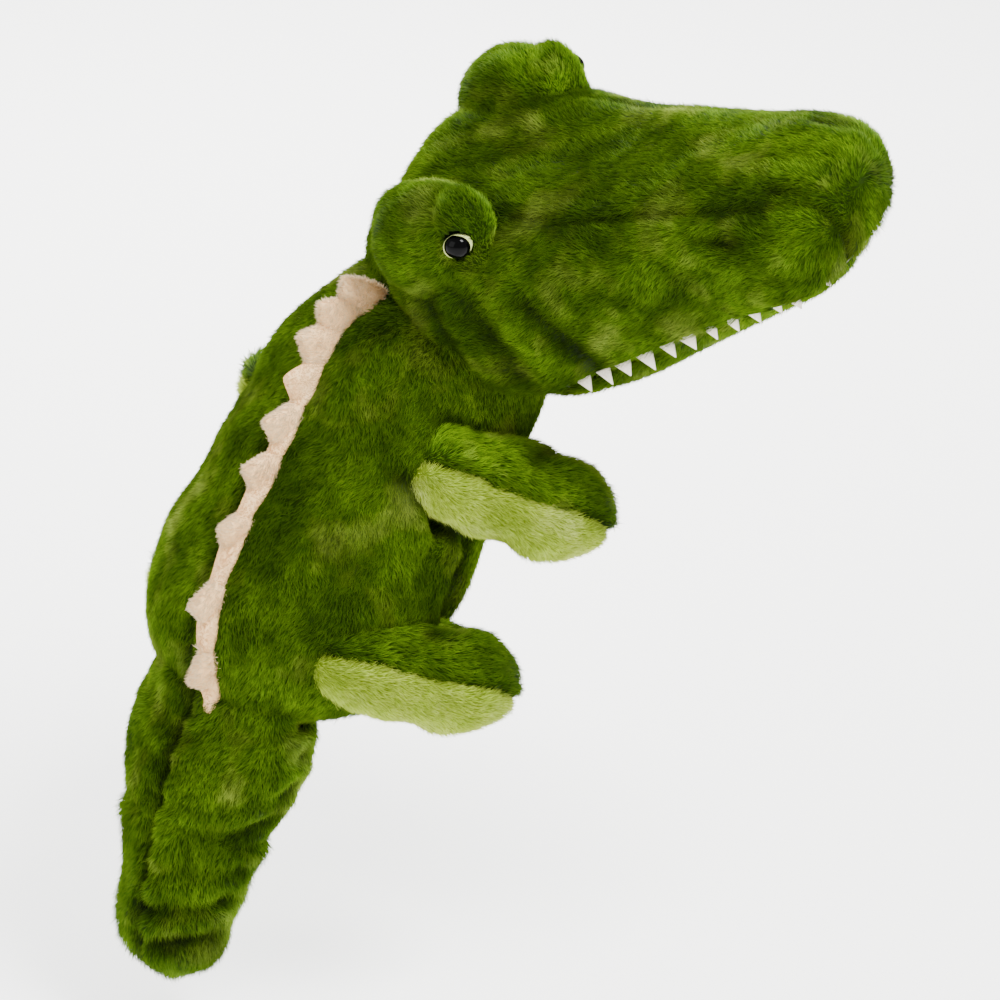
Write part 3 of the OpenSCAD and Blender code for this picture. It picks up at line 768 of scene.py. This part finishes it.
@dataclass
class Torso:
    """Body: back and belly panels over filling, and the ridge down the back."""

    finishes: Finishes
    rings: list[Ring] = field(default_factory=list)
    seat: dict[str, BVHTree] = field(default_factory=dict)

    def __post_init__(self) -> None:
        at = BODY.along
        self.rings = rings_of(
            (0, 14, 0, 30, 30, 30, 2), (0, 2, 0, 31, 31, 31, 2), (-20, -3, 0, 54, 50, 50, 2.2),
            (-29, 4, 2, 64, 59, 63, 2.3), (-31, 24, 11, 70, 63, 72, 2.3), (-20, 48, 27, 65, 65, 75, 2.2),
            (*at(80), 36, 59, 69, 74, 2.1), (*at(110), 38, 57, 69, 71, 2.1), (*at(140), 36, 57, 70, 68, 2.1),
            (*at(168), 31, 56, 68, 66, 2.1), (*at(190), 24, 55, 64, 60, 2.1), (*at(207), 18, 54, 56, 56, 2),
            (*at(222), 12, 46, 46, 48, 2), (*at(232), 8, 26, 26, 28, 2))

    def soft(self) -> Soft:
        """The whole skin with its folds."""
        a = math.radians(BODY.lean)
        belly = plane((BODY.hip[0] + 26 * math.cos(a), 0, BODY.hip[2] - 26 * math.sin(a)),
                      (math.cos(a), 0, -math.sin(a)))
        self.belly = belly
        back = lambda v: np.where(v[:, 0] < 60, np.abs(v[:, 1]), FAR)
        right_folds = [
            crease(7, 5.5, (12, -64, 150), (40, -69, 120), (46, -70, 100)),
            crease(6, 5, (-6, -58, 118), (8, -70, 92), (24, -72, 84)),
            crease(5, 3.5, (8, -70, 92), (-10, -64, 72)),
            crease(5, 3.5, (8, -70, 92), (4, -74, 112)),
            crease(6, 4, (-40, -56, 52), (-18, -64, 60), (4, -66, 52)),
            crease(7, 5, (30, -72, 78), (16, -70, 60), (10, -66, 40)),
        ]
        left_folds = [
            crease(7, 5, (10, 62, 150), (36, 69, 122), (48, 70, 100)),
            crease(6, 5, (-8, 60, 112), (10, 71, 92), (30, 72, 80)),
            crease(6, 4, (-34, 60, 60), (-10, 66, 60), (8, 66, 48)),
        ]
        front = [crease(8, 4, (44, -40, 60), (52, 0, 62), (44, 40, 60)),
                 crease(8, 4, (92, -38, 104), (98, 0, 108), (92, 38, 104))]
        bm = bend_sphere(self.rings, 112, 120, open_start=True)
        return shape_soft(bm, Matrix.Identity(4),
                          [Valley(back, 3.5, 2.0), Valley(lambda v: np.abs(belly(v)), 3.0, 1.6)]
                          + right_folds + left_folds + front, 11, 1.6, 62)

    def build(self, hidden: list[BVHTree]) -> None:
        """Makes the panels, the sleeve, the hem and the ridge."""
        s = self.soft()
        a = math.radians(BODY.lean)
        flow = lambda v: np.stack([np.full(len(v), -math.sin(a)), 0.003 * v[:, 1],
                                   np.full(len(v), -math.cos(a))], 1)
        f = self.finishes
        for keep, cut in (
            (lambda v: np.minimum(v[:, 1], -self.belly(v)),
             Cut("back_left", ("back_panel_left",), f.back, "plush_back", 21)),
            (lambda v: np.minimum(-v[:, 1], -self.belly(v)),
             Cut("back_right", ("back_panel_right",), f.back, "plush_back", 22)),
            (self.belly, Cut("belly", ("belly_panel", "torso_padding"), f.throat, "plush_side", 23)),
        ):
            cut.lay("torso", s, keep, LONG, flow, hidden)
        self.sleeve()
        self.hem()
        self.ridge(s)

    def sleeve(self) -> None:
        """The cloth tube that the hand goes into."""
        rings = rings_of(
            (0, 9, 0, 29, 29, 29, 2), (0, 22, 12, 29, 28, 30, 2), (1, 44, 27, 31, 29, 31, 2),
            (12, 76, 38, 33, 33, 37, 2), (32, 104, 38, 33, 35, 39, 2), (54, 134, 38, 32, 34, 37, 2),
            (72, 157, 38, 31, 31, 33, 2))
        bm = bend_sphere(rings, 72, 60)
        ends = [v for v in bm.verts if len(v.link_edges) > 8]
        bmesh.ops.delete(bm, geom=ends, context="VERTS")
        bm.normal_update()
        v = np.array([x.co for x in bm.verts])
        n = np.array([x.normal for x in bm.verts])
        for vert, p in zip(bm.verts, v + n * (lumps(v, 26, 4) * 0.9)[:, None]):
            vert.co = p
        bmesh.ops.solidify(bm, geom=bm.faces[:], thickness=0.6)
        obj = plain("hand_sleeve_cloth", bm, Matrix.Identity(4), self.finishes.lining)
        attach(obj, "torso", ("hand_sleeve",))

    def hem(self) -> None:
        """The turned hem round the opening, a soft rolled band."""
        bm = bmesh.new()
        bmesh.ops.create_circle(bm, segments=12, radius=2.2,
                                matrix=Matrix.Translation((31, 0, 2)) @ turn("X", 90))
        for vert in bm.verts:
            vert.co.z = (vert.co.z - 2) * 2.0 + 2
        bmesh.ops.spin(bm, geom=bm.edges[:], cent=(0, 0, 0), axis=(0, 0, 1), angle=2 * math.pi,
                       steps=72, use_merge=True, use_duplicate=False)
        bmesh.ops.remove_doubles(bm, verts=bm.verts[:], dist=0.01)
        bmesh.ops.recalc_face_normals(bm, faces=bm.faces[:])
        obj = plain("hem_band", bm, Matrix.Identity(4), self.finishes.under)
        attach(obj, "torso", ("opening_hem",))

    @staticmethod
    def slant(x: float, z: float) -> float:
        """How far right of the middle the ridge sits, more towards the hip."""
        a = math.radians(BODY.lean)
        along = (x - BODY.hip[0]) * math.sin(a) + (z - BODY.hip[2]) * math.cos(a)
        return -12.0 * (1 - along / 200)

    def back_point(self, t: float) -> tuple[Vector, Vector, Vector]:
        """A point on the back's middle line, and the ways out and up there."""
        table = np.array([(r.x - r.back * math.cos(math.radians(r.tilt)),
                           r.z + r.back * math.sin(math.radians(r.tilt))) for r in self.rings[3:12]])
        n = len(table) - 1
        p, q = smooth_rows(table, np.array([t * n, min(t * n + 0.05, n)]))
        up = Vector((q[0] - p[0], 0, q[1] - p[1])).normalized()
        return Vector((p[0], self.slant(*p), p[1])), Vector((-up.z, 0, up.x)), up

    def ridge(self, s: Soft) -> None:
        """Nine soft spikes on a rolled strip, largest at the neck."""
        tree = s.tree()
        verts, faces, last = [], [], RIDGE_SPIKES - 1
        parts: list[bmesh.types.BMesh] = []

        def surface(t: float) -> tuple[Vector, Vector, Vector]:
            p, out, up = self.back_point(t)
            hit = tree.ray_cast(p + out * 40, -out)
            return (hit[0] if hit[0] else p), out, up

        strip = []
        for i in range(30):
            p, out, up = surface(0.03 + 0.945 * i / 29)
            w = 5.5 + 1.2 * math.sin(i * 1.9) + (1.5 if i > 25 else 0)
            strip.append((p + out, out, up, w))
        rings = [self.section(p, out, 4.8, w * 0.9, 5.0) for p, out, up, w in strip]
        end = strip[0]
        lobe = [self.section(end[0] - end[2] * d, end[1], h, w, h)
                for d, h, w in ((13, 2.0, 2.0), (11.5, 4.6, 4.6), (8, 6.4, 6.2), (4, 6.2, 6.0))]
        parts.append(bend_sphere(lobe + rings, 24, 110))
        for i in range(RIDGE_SPIKES):
            p, out, up = surface(0.09 + 0.83 * i / last)
            high = 13 + 10 * (i / last) ** 1.5 + 1.5 * math.sin(i * 2.3)
            wide = 12.5 + 4.5 * (i / last) ** 2
            sections = []
            for f, k, thick in ((-0.1, 1.0, 5.4), (0.15, 0.95, 5.2), (0.45, 0.68, 4.6),
                                (0.75, 0.38, 3.8), (0.93, 0.17, 2.8), (1.0, 0.05, 1.2)):
                c = p + out * (high * f) - up * (high * 0.22 * f * f)
                sections.append((c, wide * k, thick))
            parts.append(self.spike(sections, out, up))
        base = 0
        for bm in parts:
            verts.append(np.array([x.co for x in bm.verts]))
            faces += faces_of(bm, base)
            base += len(bm.verts)
            bm.free()
        co = np.concatenate(verts)
        soft = Soft(co, faces, np.zeros(len(co)), Matrix.Identity(4))
        down = lambda v: np.stack([np.full(len(v), -0.75), np.zeros(len(v)), np.full(len(v), 0.1)], 1)
        cut = Cut("ridge", ("back_ridge",), self.finishes.ridge, "plush_ridge", 31)
        cut.lay("torso", soft, None, RIDGE, down, fill=0.6, thick=0)

    @staticmethod
    def section(p: Vector, out: Vector, high: float, wide: float, low: float) -> Ring:
        """A section across the ridge's strip."""
        return Ring(p.x, p.z, math.degrees(math.atan2(-out.z, out.x)), high, low, wide, 2, p.y)

    @staticmethod
    def spike(sections: list[tuple[Vector, float, float]], out: Vector, up: Vector) -> bmesh.types.BMesh:
        """One soft spike: sections along out, long along up and thin across."""
        rings = [Ring(c.x, c.z, math.degrees(math.atan2(-up.z, up.x)), w, w, k, 2.2, c.y)
                 for c, w, k in sections]
        return bend_sphere(rings, 20, 16)


@dataclass
class Neck:
    """The soft ball between the body and the head."""

    finishes: Finishes

    def soft(self) -> Soft:
        """The ball's surface."""
        bm = bmesh.new()
        bmesh.ops.create_uvsphere(bm, u_segments=72, v_segments=48, radius=53)
        return shape_soft(bm, Matrix.Translation(NECK), [], 7, 1.2, 40)

    def build(self, hidden: list[BVHTree]) -> None:
        """Makes the ball; the rest of the neck is inside it."""
        cut = Cut("neck_plush", ("neck_skin", "neck_lining"), self.finishes.side, "plush_side", 41)
        cut.lay("neck", self.soft(), None, LONG, lie(-0.55, 0.1, -0.8), hidden)


def top_width(x: Array) -> Array:
    """Half width of the head's top panel at a distance forward of the neck."""
    return np.interp(x, [-20, 40, 90, 130, 200, 240, 256], [38, 46, 45, 40, 35, 26, 12])


MOUTH_EDGE = np.array([(-4, 56), (8, 60), (30, 64), (60, 61), (100, 54), (135, 49), (162, 45),
                       (178, 35), (185, 17), (187, 2)], float)


def to_mouth(v: Array) -> Array:
    """Head-frame points in the mouth's frame."""
    m = np.array((Matrix.Translation(JAW_HINGE) @ turn("Y", -MOUTH_SLOPE)).inverted())
    return v @ m[:3, :3].T + m[:3, 3]


@dataclass
class Head:
    """Upper head: panels, brow mounds, eyelids, eyes and teeth."""

    finishes: Finishes

    def rings(self) -> list[Ring]:
        """Sections from the back of the head to the nose, in the head's frame."""
        return rings_of(
            (-20, 30, 90, 14, 16, 24, 2), (-15, 28, 90, 32, 34, 44, 2), (-4, 25, 90, 52, 50, 64, 2.1),
            (14, 22, 90, 62, 57, 74, 2.2), (36, 20, 90, 66, 60, 79, 2.3), (60, 20, 90, 64, 59, 78, 2.4),
            (92, 23, 90, 60, 54, 70, 2.5), (128, 34, 90, 60, 46, 61, 2.5), (165, 45, 90, 56, 38, 54, 2.5),
            (192, 50, 90, 52, 36, 53, 2.4), (210, 53, 90, 48, 34, 50, 2.3), (223, 55, 90, 39, 29, 42, 2.2),
            (231, 56, 90, 25, 19, 28, 2.1), (234, 56, 90, 10, 8, 11, 2))

    def soft(self) -> Soft:
        """The head's surface with seams and creases."""
        seam = lambda v: np.where((v[:, 2] > 40) & (v[:, 0] > 62),
                                  np.abs(np.abs(v[:, 1]) - top_width(v[:, 0])), FAR)
        dish = lambda v: np.where(v[:, 2] > 30, np.hypot((v[:, 0] - 55) / 2.2, v[:, 1]), FAR)
        nostril = lambda s: path((200, s * 28, 84), (216, s * 24, 80))
        folds = [Valley(seam, 3.2, 1.8), Valley(dish, 26, 7.0),
                 crease(4, 3, (165, -50, 70), (185, -48, 66)),
                 Valley(nostril(-1), 4, 3.0), Valley(nostril(1), 4, 3.0)]
        for s in (-1, 1):
            folds += [
                crease(6, 3.5, (74, s * 74, 40), (92, s * 72, 12), (96, s * 66, -6)),
                crease(7, 3.0, (44, s * 80, 44), (58, s * 80, 10), (60, s * 76, -18)),
                crease(6, 3.5, (18, s * 76, 40), (26, s * 80, 8), (30, s * 76, -20)),
            ]
        return shape_soft(bend_sphere(self.rings(), 112, 132), HEAD_FRAME, folds, 13, 1.3, 58)

    def build(self, hidden: list[BVHTree]) -> None:
        """Makes every piece of the upper head."""
        s = self.soft()
        in_jaw = lambda v: ((to_mouth(v)[:, 2] < 0.5) & (to_mouth(v)[:, 0] > -4)).astype(float)
        upper = lambda v: 0.5 - in_jaw(v)
        top = lambda v: np.where(v[:, 2] > 38, top_width(v[:, 0]) - np.abs(v[:, 1]), -1.0)
        behind = lambda v: 4.0 - v[:, 0]
        flow = lambda v: np.stack([np.full(len(v), -1.0), 0.004 * v[:, 1], -0.25 - 0.004 * (v[:, 2] - 40)], 1)
        f = self.finishes
        for keep, cut in (
            (lambda v: np.minimum.reduce([top(v), upper(v), -behind(v)]),
             Cut("head_top", ("head_top_panel",), f.back, "plush_back", 51)),
            (lambda v: np.minimum.reduce([-top(v), upper(v), -behind(v), -v[:, 1]]),
             Cut("head_right", ("head_side_panel_right", "head_stuffing"), f.side, "plush_side", 52)),
            (lambda v: np.minimum.reduce([-top(v), upper(v), -behind(v), v[:, 1]]),
             Cut("head_left", ("head_side_panel_left",), f.side, "plush_side", 53)),
            (lambda v: np.minimum(behind(v), upper(v)),
             Cut("head_back", ("head_back_panel",), f.throat, "plush_back", 54)),
        ):
            cut.lay("head", s, keep, LONG, flow, hidden)
        tree = s.tree()
        for side in Side:
            self.eye_group(side, tree)
        self.teeth()

    def lump(self, at: tuple[float, float, float], size: tuple[float, float, float], seed: int,
             valleys: list[Valley] | None = None) -> Soft:
        """A soft rounded lump on the head."""
        bm = bmesh.new()
        bmesh.ops.create_uvsphere(bm, u_segments=56, v_segments=40, radius=1.0)
        bmesh.ops.transform(bm, matrix=Matrix.Translation(at) @ Matrix.Diagonal((*size, 1)), verts=bm.verts)
        return shape_soft(bm, HEAD_FRAME, valleys or [], seed, 1.0, 26)

    def eye_group(self, side: Side, head: BVHTree) -> None:
        """Brow mound, eyelid, felt backing and eye on one side."""
        s = side.value
        word = side.name.lower()
        mound = self.lump((18, s * 54, 62), (29, 26, 29), 60 + s)
        lid = self.lump((41, s * 57, 66), (15, 16, 30), 70 + s)
        side_plush = self.finishes.side
        cut = Cut(f"brow_{word}", (f"eye_mound_{word}",), side_plush, "plush_side", 61 + s)
        cut.lay("head", mound, None, LONG, lie(-1.0, 0.1 * s, -0.3), [head, lid.tree()])
        eye = (44, s * 71.5, 73)
        cut = Cut(f"lid_{word}", (f"eyelid_{word}",), side_plush, "plush_side", 71 + s)
        cut.lay("head", lid, lambda v: np.linalg.norm(v - np.array(eye), axis=1) - 8.5,
                MEDIUM, lie(-0.5, 0, 1.0), [head])
        pose = HEAD_FRAME @ Matrix.Translation(eye) @ turn("X", s * -78) @ turn("Y", 18)
        bm = bmesh.new()
        bmesh.ops.create_cone(bm, cap_ends=True, segments=40, radius1=7.9, radius2=7.4, depth=1.6)
        oval = pose @ turn("Z", 25) @ Matrix.Diagonal((1.0, 0.8, 1, 1))
        obj = plain(f"eye_felt_{word}", bm, oval, self.finishes.eye_felt)
        attach(obj, "head", (f"eye_backing_{word}",))
        bm = bmesh.new()
        bmesh.ops.create_uvsphere(bm, u_segments=48, v_segments=32, radius=1.0)
        bmesh.ops.transform(bm, matrix=Matrix.Translation((0, 0, 0.6)) @ Matrix.Diagonal((6.6, 6.2, 5.0, 1)),
                            verts=bm.verts)
        obj = plain(f"eye_dome_{word}", bm, pose, self.finishes.eye)
        attach(obj, "head", (f"eye_{word}",))

    def teeth(self) -> None:
        """Soft felt triangles along the upper jaw's edge."""
        bm = bmesh.new()
        rng = np.random.default_rng(81)
        for s in (-1, 1):
            for i in range(TEETH_PER_SIDE):
                x = 34 + i * 142 / (TEETH_PER_SIDE - 1) + rng.uniform(-1.2, 1.2)
                w0, ahead, behind = (float(np.interp(at, *MOUTH_EDGE.T)) for at in (x, x + 3, x - 3))
                high = 9.5 * rng.uniform(0.85, 1.12)
                yaw = math.degrees(math.atan((ahead - behind) / 6)) * s
                local = (Matrix.Translation((x, s * (w0 - 1.0), 3.0)) @ turn("Z", yaw)
                         @ turn("X", s * rng.uniform(2, 9)))
                bmesh.ops.create_cone(bm, cap_ends=True, segments=12, radius1=0.3,
                                      radius2=TOOTH_R * rng.uniform(0.85, 1.1), depth=high,
                                      matrix=local @ Matrix.Translation((0, 0, -high / 2)) @ TOOTH_FLAT)
        obj = plain("felt_teeth", bm, MOUTH_FRAME, self.finishes.felt)
        attach(obj, "head", ("upper_teeth",))


@dataclass
class LowerJaw:
    """The chin, hinged at the back of the mouth."""

    finishes: Finishes

    def soft(self) -> Soft:
        """The chin's surface, in the mouth's frame."""
        rings = rings_of(
            (-9, -8, 90, 4, 4, 38, 2.2), (-4, -7, 90, 10, 4, 47, 2.2), (8, -6, 90, 16, 3, 51, 2.2),
            (30, -6, 90, 21, 3, 52, 2.1), (60, -6, 90, 21, 3, 47, 2), (95, -6, 90, 18, 3, 39, 2),
            (128, -6, 90, 15, 3, 34, 2), (152, -6, 90, 12, 3, 29, 2), (168, -6, 90, 9, 3, 21, 2),
            (175, -7, 90, 4, 3, 10, 2))
        seam = Valley(lambda v: np.abs(v[:, 1]) + (v[:, 2] > -6) * FAR, 3.5, 1.6)
        return shape_soft(bend_sphere(rings, 96, 96), MOUTH_FRAME, [seam], 17, 1.0, 50)

    def build(self, hidden: list[BVHTree]) -> None:
        """Makes the chin."""
        outside = lambda v: np.where(v[:, 2] < -3.6, 1.0, -1.0)
        cut = Cut("chin", ("chin_panel", "jaw_stuffing"), self.finishes.throat, "plush_back", 91)
        cut.lay("lower_jaw", self.soft(), outside, MEDIUM, lie(-1, 0, -0.2), hidden)


@dataclass
class Limb:
    """An arm or a leg: a stuffed roll of two panels."""

    name: str
    side: Side
    pivot: Vector
    nodes: tuple[str, str, str]
    finishes: Finishes
    seed: int

    def seam(self, v: Array) -> Array:
        """Distance from the seam; above 0 on the pale panel, under and outside."""
        a = math.radians(27)
        return v[:, 0] * math.cos(a) + self.side.value * v[:, 1] * math.sin(a) - 2.0 - 0.05 * v[:, 2]

    def soft(self) -> Soft:
        """The limb's surface in its own frame, with +Z to the paw."""
        shape = [(-20, 7, 7), (-17, 15, 14), (-8, 21, 20), (8, 24, 22), (28, 25, 23), (46, 26, 26),
                 (60, 26, 28), (73, 23, 25), (83, 16, 18), (89, 8, 9), (91, 3, 3)]
        rings = [Ring(0, z, 0, d, d * 0.96, w, 2.1) for z, d, w in shape]
        edge = lambda v: np.abs(self.seam(v))
        folds = [Valley(edge, 2.6, 1.4),
                 crease(7, 2.4, (-26, -10, 34), (-26, 2, 46), (-22, 14, 62)),
                 crease(6, 2.0, (26, -16, 30), (26, -2, 44))]
        place = pose_of(self.pivot, self.side)
        return shape_soft(bend_sphere(rings, 72, 64), place, folds, self.seed, 1.4, 34)

    def build(self, hidden: list[BVHTree]) -> None:
        """Makes the upper and under panels."""
        s = self.soft()
        top = lambda v: -self.seam(v)
        flow = lambda v: np.stack([0.002 * v[:, 0], 0.002 * v[:, 1], np.ones(len(v))], 1)
        a, b, c = self.nodes
        cut = Cut(f"{self.name}_upper_plush", (a, c), self.finishes.back, "plush_back", self.seed + 1)
        cut.lay(self.name, s, top, FLUFFY, flow, hidden)
        cut = Cut(f"{self.name}_under_plush", (b,), self.finishes.under, "plush_under", self.seed + 2)
        cut.lay(self.name, s, lambda v: -top(v), MEDIUM, flow, hidden)


@dataclass
class Tail:
    """Two stuffed lengths that hang from the lower back."""

    finishes: Finishes

    def soft(self, tip: bool) -> Soft:
        """One length's surface, measured from the tail's root."""
        rows = ([(0, 20, 10, 14, 14, 34), (0, 14, 0, 23, 25, 45), (0, 0, 4, 27, 28, 51),
                 (-9, -20, 14, 27, 29, 53), (-20, -45, 20, 27, 28, 45), (-26, -62, 20, 25, 26, 38),
                 (-30, -73, 20, 18, 18, 29), (-32, -79, 20, 7, 7, 13)] if not tip else
                [(-19, -40, 20, 8, 8, 16), (-21, -46, 20, 19, 20, 30), (-26, -58, 20, 27, 27, 40),
                 (-30, -72, 20, 26, 26, 36), (-36, -95, 18, 24, 25, 31), (-41, -113, 16, 21, 22, 29),
                 (-44, -124, 16, 17, 18, 24), (-45, -130, 16, 10, 11, 15), (-45, -133, 16, 4, 4, 6)])
        rings = [Ring(*r, 2.3) for r in rows]
        folds = [Valley(lambda v: np.where(v[:, 0] < -6, np.abs(v[:, 1]), FAR), 3.5, 3.2)]
        if not tip:
            for k in range(4):
                z = 2 - 15 * k
                x = -0.42 * (2 - z)
                folds += [
                    crease(4.5, 4.5, (x - 30, -4, z - 12), (x - 12, -38, z - 4), (x + 8, -52, z + 4)),
                    crease(4.5, 3.5, (x - 30, 4, z - 10), (x - 12, 38, z - 2), (x + 8, 52, z + 4))]
        else:
            for k in range(3):
                z = -66 - 18 * k
                x = 0.36 * z - 4
                folds.append(crease(4.5, 3.0, (x - 26, -4, z - 8), (x - 16, -22, z - 3), (x, -34, z)))
        return shape_soft(bend_sphere(rings, 88, 72), Matrix.Translation(TAIL), folds, 23 + tip, 1.4, 36)

    def build(self, hidden: list[BVHTree]) -> None:
        """Makes both lengths."""
        for tip, part in ((False, "tail_base"), (True, "tail_tip")):
            s = self.soft(tip)
            split = lambda v: -14.0 - v[:, 0] + 0.25 * v[:, 2]
            flow = lie(-0.3, 0, -1)
            other = self.soft(not tip).tree()
            style = FLUFFY if tip else LONG
            nodes = (f"{part}_skin", f"{part}_stuffing")
            cut = Cut(f"{part}_back", nodes, self.finishes.back, "plush_back", 101 + tip)
            cut.lay(part, s, split, style, flow, hidden + [other])
            cut = Cut(f"{part}_front", (f"{part}_underside",), self.finishes.side, "plush_side", 103 + tip)
            cut.lay(part, s, lambda v: -split(v), style, flow, hidden + [other])


def dress_inner_parts(f: Finishes) -> None:
    """Gives the hard and hidden CAD pieces their finishes."""
    looks = {
        "palate_lining": f.mouth, "lower_mouth_lining": f.mouth, "mouth_hinge_fold": f.mouth,
        "upper_mouth_board": f.board, "lower_mouth_board": f.board, "finger_pocket": f.lining,
        "thumb_pocket": f.lining, "eye_washer_right": f.washer, "eye_washer_left": f.washer,
    }
    for name, finish in looks.items():
        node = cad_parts[name]
        node.data.materials.clear()
        node.data.materials.append(finish)


@dataclass
class Studio:
    """Floor, lights and camera; none of it is part of the puppet."""

    floor_z: float

    def build(self) -> None:
        """Makes the floor, three soft lights, a pale sky and the camera."""
        bm = bmesh.new()
        bmesh.ops.create_grid(bm, x_segments=1, y_segments=1, size=6000)
        g = Graph("studio_floor_white")
        # The floor glows a little, as a light table does, so that it reads as white.
        white = g.finish(linear("#f6f6f4"), Roughness=0.95, Emission_Color=linear("#ffffff"),
                         Emission_Strength=1.4)
        floor = plain("floor", bm, Matrix.Translation((0, 0, self.floor_z)), white)
        floor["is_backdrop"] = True
        world = bpy.data.worlds.new("studio_sky")
        world.use_nodes = True
        colour, strength = world.node_tree.nodes["Background"].inputs[:2]
        colour.default_value = (1.0, 1.0, 1.0, 1.0)
        strength.default_value = 0.9
        bpy.context.scene.world = world
        target = Vector((0.065, -0.052, 0.082))
        right, up = Vector((0.743, -0.669, 0)), Vector((0.283, 0.314, 0.906))
        back = Vector((-0.606, -0.674, 0.423))
        for name, at, size, power in (
            ("key", right * 0.7 + up * 1.2 + back * 1.2, 0.6, 75),
            ("fill", right * -1.4 + up * 0.3 + back * 1.3, 1.4, 18),
            ("rim", right * -0.2 + up * 1.3 - back * 0.8, 0.8, 60),
        ):
            data = bpy.data.lights.new(name, "AREA")
            data.size, data.energy = size, power
            lamp = bpy.data.objects.new(name, data)
            bpy.context.collection.objects.link(lamp)
            lamp.location = target + at
            lamp.rotation_euler = (-at).to_track_quat("-Z", "Y").to_euler()
            lamp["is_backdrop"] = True
        data = bpy.data.cameras.new("camera")
        data.lens, data.sensor_width = 300, 36
        data.clip_start, data.clip_end = 0.05, 50
        cam = bpy.data.objects.new("camera", data)
        bpy.context.collection.objects.link(cam)
        cam.location = target + back * 4.165
        cam.rotation_euler = (-back).to_track_quat("-Z", "Y").to_euler()
        bpy.context.scene.camera = cam


def main() -> None:
    """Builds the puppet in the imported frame."""
    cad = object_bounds()
    finishes = Finishes()
    torso, neck, head = Torso(finishes), Neck(finishes), Head(finishes)
    jaw, tail = LowerJaw(finishes), Tail(finishes)
    limbs = []
    for side in Side:
        for kind, t, forward, out, under, seed in LIMBS:
            name = f"{kind}_{side.name.lower()}"
            nodes = (f"{name}_top", f"{name}_{under}", f"{name}_stuffing")
            pivot = BODY.limb_pivot(t, forward, side.value * out)
            limbs.append(Limb(name, side, pivot, nodes, finishes, seed + side.value * 5))
    body_tree, head_tree = torso.soft().tree(), head.soft().tree()
    tail_tree = tail.soft(False).tree()
    torso.build([neck.soft().tree(), tail_tree] + [x.soft().tree() for x in limbs])
    neck.build([body_tree, head_tree])
    head.build([])
    jaw.build([])
    for limb in limbs:
        limb.build([body_tree])
    tail.build([body_tree])
    dress_inner_parts(finishes)
    Studio(floor_z=cad[0].z / MM - 30.0).build()


if __name__ == "__main__":
    main()
